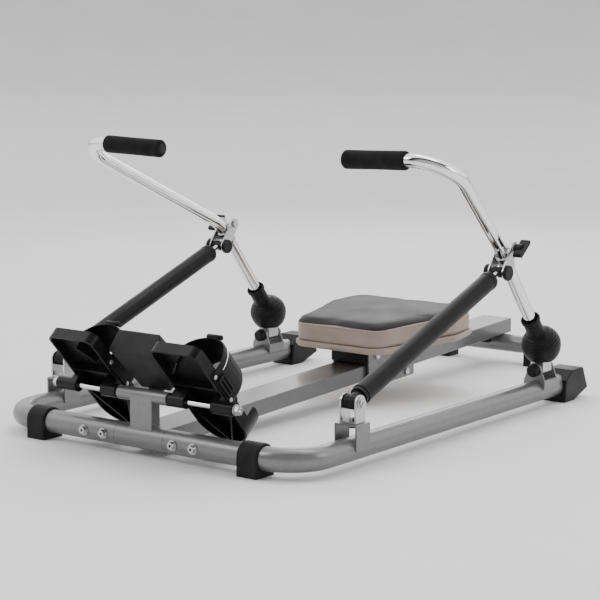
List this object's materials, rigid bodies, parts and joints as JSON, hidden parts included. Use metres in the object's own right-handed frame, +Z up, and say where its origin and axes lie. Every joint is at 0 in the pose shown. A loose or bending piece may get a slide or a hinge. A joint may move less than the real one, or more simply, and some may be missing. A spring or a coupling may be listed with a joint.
{
  "type": "rowing machine",
  "caption": "Home rowing machine: oars on hydraulic cylinders, a padded seat that rolls on a sloping rail, and tilting foot pedals with straps.",
  "frame": {"origin": "centre of the footprint, on the floor", "axes": "+Y from the pedals to the back of the rail, +X to the left of a seated rower who faces the pedals, +Z up"},
  "size_m": [0.8648, 1.2422, 0.529],
  "materials": {
    "black_paint": "black enamel",
    "black_plastic": "moulded, satin",
    "board": "plywood",
    "button": "satin",
    "chrome": "polished",
    "console_grey": "satin",
    "foam": "foam, matt",
    "frame_paint": "silver grey powder coat",
    "pedal_plastic": "moulded, satin",
    "rail_paint": "silver grey powder coat",
    "rubber": "matt",
    "screen": "grey display window",
    "seat_vinyl": "grained vinyl",
    "strap": "soft strap",
    "zinc": "zinc plated"
  },
  "bodies": {
    "frame": {"crossbar_centre": "frame_paint", "joint_inserts": "zinc", "side_tube_left": "frame_paint", "side_tube_right": "frame_paint", "frame_fasteners": "zinc", "floor_feet": "rubber", "rear_caps": "black_plastic", "rear_stabiliser": "frame_paint", "seat_rail": "rail_paint", "rail_end_cap": "black_plastic", "rail_stops": "rubber", "pedal_post": "frame_paint", "pedal_axle": "chrome", "console_bracket": "frame_paint", "console_housing": "console_grey", "console_screen": "screen", "cylinder_brackets": "frame_paint", "arm_brackets": "frame_paint", "pivot_pins": "zinc", "pivot_caps": "black_plastic"},
    "console_button": {"console_button": "button"},
    "seat": {"seat_cushion": "seat_vinyl", "seat_board": "board", "seat_carriage": "frame_paint", "carriage_guards": "black_plastic", "roller_axles": "zinc"},
    "roller_front": {"roller_front": "black_plastic"},
    "roller_rear": {"roller_rear": "black_plastic"},
    "pedal_right": {"pedal_right": "pedal_plastic", "foot_strap_right": "strap", "strap_buckle_right": "black_plastic"},
    "yoke_right": {"yoke_right": "zinc"},
    "oar_right": {"oar_tube_right": "chrome", "grip_right": "foam", "clamp_right": "zinc", "clamp_caps_right": "black_plastic", "clamp_bolt_right": "zinc", "boot_right": "rubber"},
    "wing_knob_right": {"wing_knob_right": "black_plastic"},
    "swivel_clevis_right": {"swivel_clevis_right": "zinc"},
    "cylinder_right": {"cylinder_barrel_right": "black_paint", "cylinder_ends_right": "black_plastic"},
    "rod_right": {"piston_rod_right": "chrome", "rod_end_right": "black_plastic"},
    "pedal_left": {"pedal_left": "pedal_plastic", "foot_strap_left": "strap", "strap_buckle_left": "black_plastic"},
    "yoke_left": {"yoke_left": "zinc"},
    "oar_left": {"oar_tube_left": "chrome", "grip_left": "foam", "clamp_left": "zinc", "clamp_caps_left": "black_plastic", "clamp_bolt_left": "zinc", "boot_left": "rubber"},
    "wing_knob_left": {"wing_knob_left": "black_plastic"},
    "swivel_clevis_left": {"swivel_clevis_left": "zinc"},
    "cylinder_left": {"cylinder_barrel_left": "black_paint", "cylinder_ends_left": "black_plastic"},
    "rod_left": {"piston_rod_left": "chrome", "rod_end_left": "black_plastic"}
  },
  "joints": [
    {"name": "console_button_press", "type": "slide", "parent": "frame", "child": "console_button", "axis": [0, -0.815, -0.5795], "range_m": [0, 0.0015], "stiffness_N_per_m": 400, "springref_m": -0.001},
    {"name": "seat_slide", "type": "slide", "parent": "frame", "child": "seat", "axis": [0, 0.9992, 0.0409], "range_m": [-0.38, 0.35]},
    {"name": "roller_front_spin", "type": "hinge", "parent": "seat", "child": "roller_front", "pos_m": [0, 0.0895, 0.08747], "axis": [1, 0, 0], "continuous": true},
    {"name": "roller_rear_spin", "type": "hinge", "parent": "seat", "child": "roller_rear", "pos_m": [0, 0.19341, 0.09172], "axis": [1, 0, 0], "continuous": true},
    {"name": "pedal_right_tilt", "type": "hinge", "parent": "frame", "child": "pedal_right", "pos_m": [0.118, -0.55393, 0.106], "axis": [1, 0, 0], "range_deg": [0, 35]},
    {"name": "oar_right_sway", "type": "hinge", "parent": "frame", "child": "yoke_right", "pos_m": [0.338, 0.22907, 0.074], "axis": [0, 1, 0], "range_deg": [-6, 6]},
    {"name": "oar_right_pull", "type": "hinge", "parent": "yoke_right", "child": "oar_right", "pos_m": [0.338, 0.22907, 0.121], "axis": [-1, 0, 0], "range_deg": [0, 50], "deforming": ["boot_right"]},
    {"name": "wing_knob_right_turn", "type": "hinge", "parent": "oar_right", "child": "wing_knob_right", "pos_m": [0.361, 0.09328, 0.3259], "axis": [1, 0, 0], "continuous": true},
    {"name": "cylinder_right_yaw", "type": "hinge", "parent": "frame", "child": "swivel_clevis_right", "pos_m": [0.338, -0.40693, 0.078], "axis": [0, 0, -1], "range_deg": [-5, 5]},
    {"name": "cylinder_right_tilt", "type": "hinge", "parent": "swivel_clevis_right", "child": "cylinder_right", "pos_m": [0.338, -0.40693, 0.112], "axis": [1, 0, 0], "range_deg": [-2, 2]},
    {"name": "rod_right_slide", "type": "slide", "parent": "cylinder_right", "child": "rod_right", "axis": [0, 0.9401, 0.3408], "range_m": [0, 0.1968]},
    {"name": "pedal_left_tilt", "type": "hinge", "parent": "frame", "child": "pedal_left", "pos_m": [-0.118, -0.55393, 0.106], "axis": [1, 0, 0], "range_deg": [0, 35]},
    {"name": "oar_left_sway", "type": "hinge", "parent": "frame", "child": "yoke_left", "pos_m": [-0.338, 0.22907, 0.074], "axis": [0, -1, 0], "range_deg": [-6, 6]},
    {"name": "oar_left_pull", "type": "hinge", "parent": "yoke_left", "child": "oar_left", "pos_m": [-0.338, 0.22907, 0.121], "axis": [-1, 0, 0], "range_deg": [0, 50], "deforming": ["boot_left"]},
    {"name": "wing_knob_left_turn", "type": "hinge", "parent": "oar_left", "child": "wing_knob_left", "pos_m": [-0.361, 0.09328, 0.3259], "axis": [1, 0, 0], "continuous": true},
    {"name": "cylinder_left_yaw", "type": "hinge", "parent": "frame", "child": "swivel_clevis_left", "pos_m": [-0.338, -0.40693, 0.078], "axis": [0, 0, 1], "range_deg": [-5, 5]},
    {"name": "cylinder_left_tilt", "type": "hinge", "parent": "swivel_clevis_left", "child": "cylinder_left", "pos_m": [-0.338, -0.40693, 0.112], "axis": [1, 0, 0], "range_deg": [-2, 2]},
    {"name": "rod_left_slide", "type": "slide", "parent": "cylinder_left", "child": "rod_left", "axis": [0, 0.9401, 0.3408], "range_m": [0, 0.1968]}
  ],
  "couplings": [
    {"joint": "roller_front_spin", "follows": "seat_slide", "rad_per_m": -66.667},
    {"joint": "roller_rear_spin", "follows": "seat_slide", "rad_per_m": -66.667},
    {"joint": "cylinder_right_yaw", "follows": "oar_right_sway", "ratio": 0.435},
    {"joint": "cylinder_right_tilt", "follows": "oar_right_pull", "ratio": 0.00542},
    {"joint": "rod_right_slide", "follows": "oar_right_pull", "m_per_rad": 0.22438},
    {"joint": "cylinder_left_yaw", "follows": "oar_left_sway", "ratio": 0.435},
    {"joint": "cylinder_left_tilt", "follows": "oar_left_pull", "ratio": 0.00542},
    {"joint": "rod_left_slide", "follows": "oar_left_pull", "m_per_rad": 0.22438}
  ]
}
